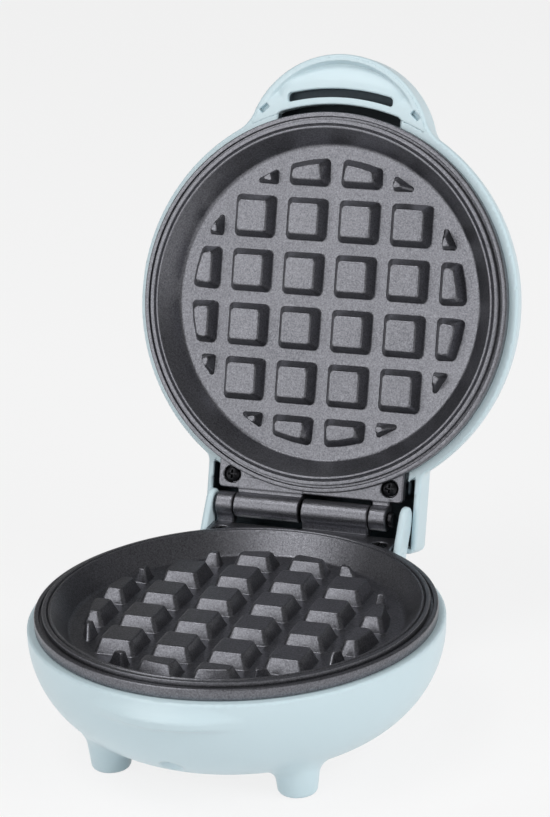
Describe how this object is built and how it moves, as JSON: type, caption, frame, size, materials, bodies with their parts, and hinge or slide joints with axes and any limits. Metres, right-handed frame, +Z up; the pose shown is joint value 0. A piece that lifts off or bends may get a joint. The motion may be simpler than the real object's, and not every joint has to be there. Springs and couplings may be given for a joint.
{
  "type": "mini waffle maker",
  "caption": "Small round waffle maker standing open: two non-stick grid plates in glossy shells, a hinged lid with a D-shaped handle and a bowl-shaped base on feet.",
  "frame": {"origin": "middle of the bounding box's bottom face, on the surface that the object stands on", "axes": "+Z up, +X to the object's right seen from its front, front faces -Y, the lid opens towards +Y"},
  "size_m": [0.124, 0.1888, 0.1812],
  "materials": {
    "casing": "glossy moulded plastic, pale aqua",
    "nonstick": "die-cast, dark grey satin non-stick coating",
    "steel": "zinc-plated",
    "black_steel": "blackened",
    "reflector": "pressed sheet",
    "sheath": "dull metal sheath",
    "pad": "soft, matt",
    "phenolic": "dark moulded phenolic",
    "ceramic": "cream, heat resistant",
    "sleeve": "braided glass-fibre sleeve",
    "lens": "translucent blue",
    "bulb": "clear glass"
  },
  "bodies": {
    "base": {"base_shell": "casing", "foot_pad_front_left": "pad", "foot_pad_front_right": "pad", "foot_pad_rear_left": "pad", "foot_pad_rear_right": "pad", "lower_plate": "nonstick", "lower_heater": "sheath", "lower_heat_shield": "reflector", "lower_plate_screw_left": "black_steel", "lower_plate_screw_right": "black_steel", "lower_shield_screw_1": "steel", "lower_shield_screw_2": "steel", "lower_shield_screw_3": "steel", "hinge_pin": "black_steel", "cord_gland": "pad", "cord_clamp": "phenolic", "cord_clamp_screw_left": "steel", "cord_clamp_screw_right": "steel", "terminal_block": "ceramic", "lower_lead_left": "sleeve", "lower_lead_right": "sleeve"},
    "lid": {"lid_shell": "casing", "handle_panel": "casing", "upper_plate": "nonstick", "upper_heater": "sheath", "upper_heat_shield": "reflector", "upper_plate_screw_left": "black_steel", "upper_plate_screw_right": "black_steel", "upper_shield_screw_1": "steel", "upper_shield_screw_2": "steel", "upper_shield_screw_3": "steel", "thermostat": "phenolic", "thermostat_strap": "steel", "thermostat_screw_left": "steel", "thermostat_screw_right": "steel", "thermal_fuse": "sheath", "fuse_clip": "steel", "lamp_lens": "lens", "neon_lamp": "bulb", "thermostat_lead": "sleeve", "fuse_lead": "sleeve"}
  },
  "joints": [
    {"name": "lid_hinge", "type": "hinge", "parent": "base", "child": "lid", "pos_m": [0, 0.03543, 0.0457], "axis": [1, 0, 0], "range_deg": [0, 107.7]}
  ]
}
